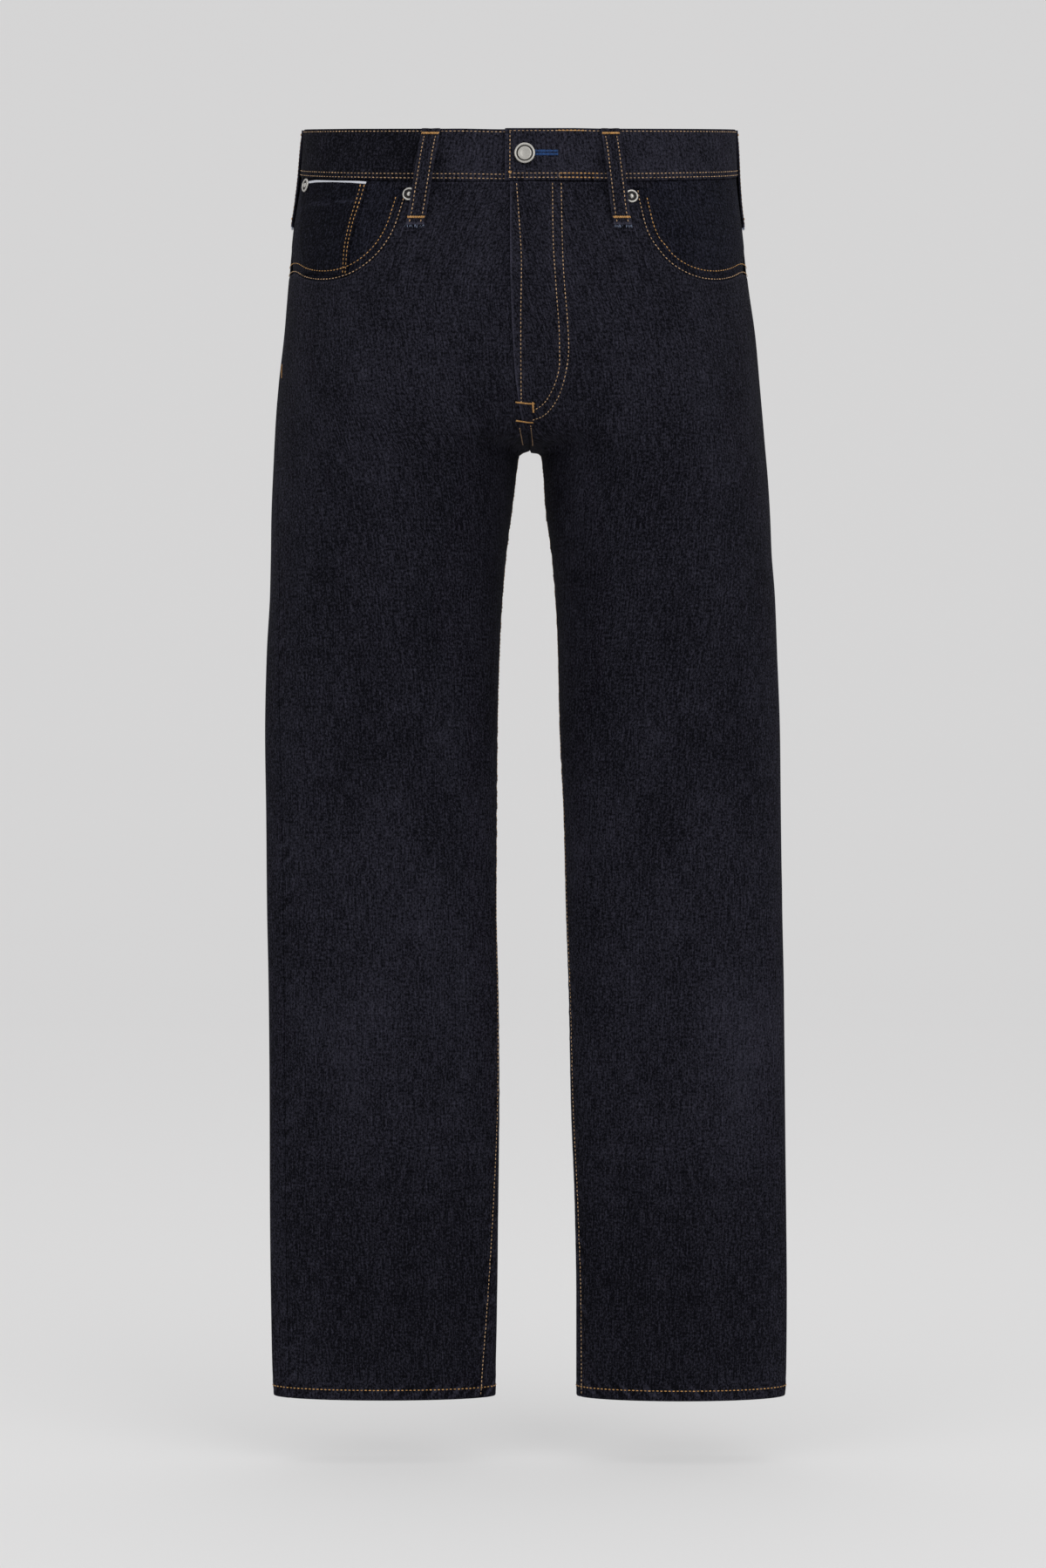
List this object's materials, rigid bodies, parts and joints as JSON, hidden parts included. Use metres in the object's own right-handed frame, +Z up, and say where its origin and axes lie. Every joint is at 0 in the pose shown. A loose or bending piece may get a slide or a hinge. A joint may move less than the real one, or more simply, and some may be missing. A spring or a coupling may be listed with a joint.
{
  "type": "straight leg jeans",
  "caption": "Straight leg jeans in dark raw denim, filled out and hollow: lapped button waistband, belt loops, scooped pockets and open hems.",
  "frame": {"origin": "middle of the waist opening, level with the waistband's top at the sides, where the wearer's waist holds the garment", "axes": "+Z up, the front faces -Y, and +X is the wearer's left"},
  "size_m": [0.437, 0.2405, 1.0804],
  "materials": {
    "denim": "dark indigo raw denim with a right hand twill, matt",
    "steel": "satin nickel on pressed steel",
    "tape": "dark woven zip tape, matt"
  },
  "bodies": {
    "root": {"front_right": "denim", "front_left": "denim", "back_right": "denim", "back_left": "denim", "yoke_right": "denim", "yoke_left": "denim", "facing_right": "denim", "facing_left": "denim", "coin_pocket": "denim", "back_pocket_right": "denim", "back_pocket_left": "denim", "waistband": "denim", "loop_front_right": "denim", "loop_front_left": "denim", "loop_side_right": "denim", "loop_side_left": "denim", "loop_back": "denim", "fly_shield": "denim", "button": "steel", "rivet_right": "steel", "rivet_left": "steel", "rivet_coin": "steel", "zip_slider": "steel", "zip": "tape"}
  },
  "joints": []
}
